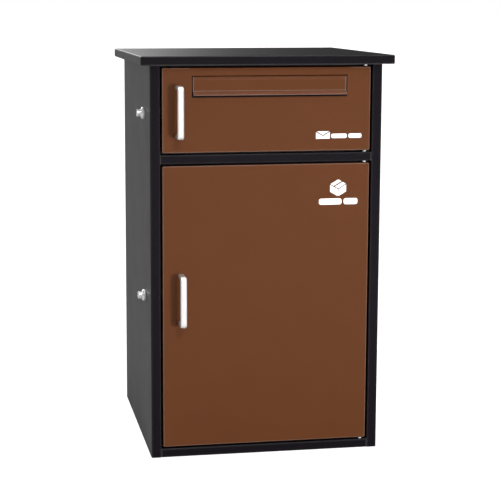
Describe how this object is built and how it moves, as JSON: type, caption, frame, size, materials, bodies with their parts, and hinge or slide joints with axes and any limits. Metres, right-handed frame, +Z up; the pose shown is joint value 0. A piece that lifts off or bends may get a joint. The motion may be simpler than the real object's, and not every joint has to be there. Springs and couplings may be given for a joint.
{
  "type": "parcel drop box",
  "caption": "Floor-standing steel parcel drop box: a lockable letter compartment with a slot flap above a lockable parcel compartment, under an overhanging flat roof.",
  "frame": {"origin": "centre of the cabinet's footprint, on the surface it stands on", "axes": "+Z up; the doors face -Y; +X to the right seen from the front, the side that the doors hinge on"},
  "size_m": [0.51, 0.522, 0.812],
  "materials": {
    "black_coat": "satin black powder coat with a fine grain",
    "brown_coat": "satin chestnut-brown powder coat with a fine grain",
    "bright_steel": "bright satin-polished steel",
    "zinc": "zinc plated",
    "black_nylon": "moulded nylon",
    "black_rubber": "matt",
    "ferrite": "sintered, matt dark grey",
    "white_print": "thin white vinyl pictograms on the doors"
  },
  "bodies": {
    "cabinet": {"left_side_panel": "black_coat", "right_side_panel": "black_coat", "back_panel": "black_coat", "floor_pan": "black_coat", "middle_rail": "black_coat", "divider_shelf": "black_coat", "top_panel": "black_coat", "roof_cap": "black_coat", "roof_bolt_front_left": "zinc", "roof_nut_front_left": "zinc", "roof_bolt_front_right": "zinc", "roof_nut_front_right": "zinc", "roof_bolt_rear_left": "zinc", "roof_nut_rear_left": "zinc", "roof_bolt_rear_right": "zinc", "roof_nut_rear_right": "zinc", "mail_door_top_pin": "bright_steel", "mail_door_bottom_pin": "bright_steel", "parcel_door_top_pin": "bright_steel", "parcel_door_bottom_pin": "bright_steel", "mail_door_top_buffer": "black_rubber", "mail_door_bottom_buffer": "black_rubber", "parcel_door_top_buffer": "black_rubber", "parcel_door_bottom_buffer": "black_rubber", "mail_door_magnet": "ferrite", "parcel_door_magnet": "ferrite", "mail_lock_housing": "bright_steel", "mail_lock_nut": "zinc", "mail_lock_spring": "zinc", "parcel_lock_housing": "bright_steel", "parcel_lock_nut": "zinc", "parcel_lock_spring": "zinc"},
    "mail_door": {"mail_door_panel": "brown_coat", "mail_handle": "bright_steel", "mail_handle_top_screw": "zinc", "mail_handle_bottom_screw": "zinc", "mail_lock_tongue": "zinc", "mail_door_top_bush": "black_nylon", "mail_door_bottom_bush": "black_nylon", "mail_slot_frame": "black_coat", "mail_flap_rod": "black_coat"},
    "mail_flap": {"mail_flap": "brown_coat"},
    "parcel_door": {"parcel_door_panel": "brown_coat", "parcel_handle": "bright_steel", "parcel_handle_top_screw": "zinc", "parcel_handle_bottom_screw": "zinc", "parcel_lock_tongue": "zinc", "parcel_door_top_bush": "black_nylon", "parcel_door_bottom_bush": "black_nylon", "parcel_door_stiffener": "brown_coat"},
    "mail_lock_plunger": {"mail_lock_plunger": "bright_steel"},
    "mail_lock_key_plug": {"mail_lock_key_plug": "bright_steel"},
    "parcel_lock_plunger": {"parcel_lock_plunger": "bright_steel"},
    "parcel_lock_key_plug": {"parcel_lock_key_plug": "bright_steel"}
  },
  "joints": [
    {"name": "mail_door_hinge", "type": "hinge", "parent": "cabinet", "child": "mail_door", "pos_m": [0.202, -0.222, 0.70475], "axis": [0, 0, 1], "range_deg": [0, 110]},
    {"name": "parcel_door_hinge", "type": "hinge", "parent": "cabinet", "child": "parcel_door", "pos_m": [0.202, -0.222, 0.3085], "axis": [0, 0, 1], "range_deg": [0, 110]},
    {"name": "mail_flap_hinge", "type": "hinge", "parent": "mail_door", "child": "mail_flap", "pos_m": [0.0055, -0.2265, 0.768], "axis": [-1, 0, 0], "range_deg": [0, 90]},
    {"name": "mail_lock_push", "type": "slide", "parent": "cabinet", "child": "mail_lock_plunger", "axis": [1, 0, 0], "range_m": [0, 0.008], "stiffness_N_per_m": 250, "springref_m": -0.006, "deforming": ["mail_lock_spring"]},
    {"name": "mail_key_turn", "type": "hinge", "parent": "mail_lock_plunger", "child": "mail_lock_key_plug", "pos_m": [-0.243, -0.134, 0.694], "axis": [1, 0, 0], "range_deg": [0, 90]},
    {"name": "parcel_lock_push", "type": "slide", "parent": "cabinet", "child": "parcel_lock_plunger", "axis": [1, 0, 0], "range_m": [0, 0.008], "stiffness_N_per_m": 250, "springref_m": -0.006, "deforming": ["parcel_lock_spring"]},
    {"name": "parcel_key_turn", "type": "hinge", "parent": "parcel_lock_plunger", "child": "parcel_lock_key_plug", "pos_m": [-0.243, -0.134, 0.318], "axis": [1, 0, 0], "range_deg": [0, 90]}
  ]
}
